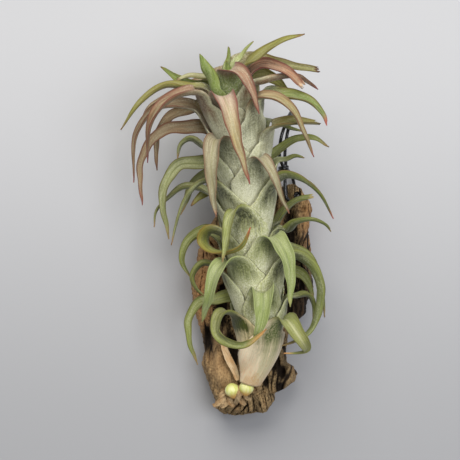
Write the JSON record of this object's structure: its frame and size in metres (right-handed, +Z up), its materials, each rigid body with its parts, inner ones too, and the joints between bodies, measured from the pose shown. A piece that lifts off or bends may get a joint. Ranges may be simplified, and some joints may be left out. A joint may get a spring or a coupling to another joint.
{
  "type": "red dragon tillandsia ionantha",
  "caption": "Long-stemmed air plant with spiralling silvery leaves that curl over, flushed red at the crown, mounted on rough bark with a black hanging wire.",
  "frame": {"origin": "on the flat back of the bark, under the lower part of the plant", "axes": "+Z up from the surface that it lies on, +Y from the foot of the plant to its crown, +X to the plant's right as the camera sees it"},
  "size_m": [0.0949, 0.1732, 0.0867],
  "materials": {
    "leaf_green": "matte green leaf with fine silvery scales and lengthwise lines",
    "leaf_silver": "matte leaf with a dense silvery bloom of scales over olive green",
    "leaf_flushed": "matte leaf flushed pink and brown, with a silvery bloom towards its base",
    "leaf_fresh": "soft matte fresh green leaf",
    "stem": "dull woody core with papery brown remains of old leaves",
    "bud": "smooth, slightly glossy pale lime bud",
    "dry_leaf": "dry, papery tan leaf",
    "bark": "rough, deeply furrowed grey-brown bark",
    "wire": "smooth black coating, semi-gloss"
  },
  "bodies": {
    "root": {"stem": "stem", "leaf_01": "leaf_green", "leaf_02": "leaf_green", "leaf_03": "leaf_green", "leaf_04": "leaf_green", "leaf_05": "leaf_green", "leaf_06": "leaf_green", "leaf_07": "leaf_green", "leaf_08": "leaf_green", "leaf_09": "leaf_green", "leaf_10": "leaf_green", "leaf_11": "leaf_green", "leaf_12": "leaf_green", "leaf_13": "leaf_green", "leaf_14": "leaf_silver", "leaf_15": "leaf_silver", "leaf_16": "leaf_silver", "leaf_17": "leaf_silver", "leaf_18": "leaf_silver", "leaf_19": "leaf_silver", "leaf_20": "leaf_silver", "leaf_21": "leaf_silver", "leaf_22": "leaf_silver", "leaf_23": "leaf_silver", "leaf_24": "leaf_silver", "leaf_25": "leaf_silver", "leaf_26": "leaf_silver", "leaf_27": "leaf_silver", "leaf_28": "leaf_flushed", "leaf_29": "leaf_flushed", "leaf_30": "leaf_flushed", "leaf_31": "leaf_flushed", "leaf_32": "leaf_flushed", "leaf_33": "leaf_flushed", "leaf_34": "leaf_flushed", "leaf_35": "leaf_flushed", "leaf_36": "leaf_flushed", "leaf_37": "leaf_flushed", "leaf_38": "leaf_flushed", "leaf_39": "leaf_flushed", "leaf_40": "leaf_flushed", "leaf_41": "leaf_flushed", "leaf_42": "leaf_flushed", "leaf_43": "leaf_fresh", "leaf_44": "leaf_flushed", "leaf_45": "leaf_flushed", "leaf_46": "leaf_flushed", "leaf_47": "leaf_flushed", "leaf_48": "leaf_fresh", "leaf_49": "leaf_fresh", "leaf_50": "leaf_fresh", "leaf_51": "leaf_fresh", "leaf_52": "leaf_fresh", "bud_left": "bud", "bud_right": "bud", "dry_leaf": "dry_leaf", "bark": "bark", "hanging_wire": "wire"}
  },
  "joints": []
}
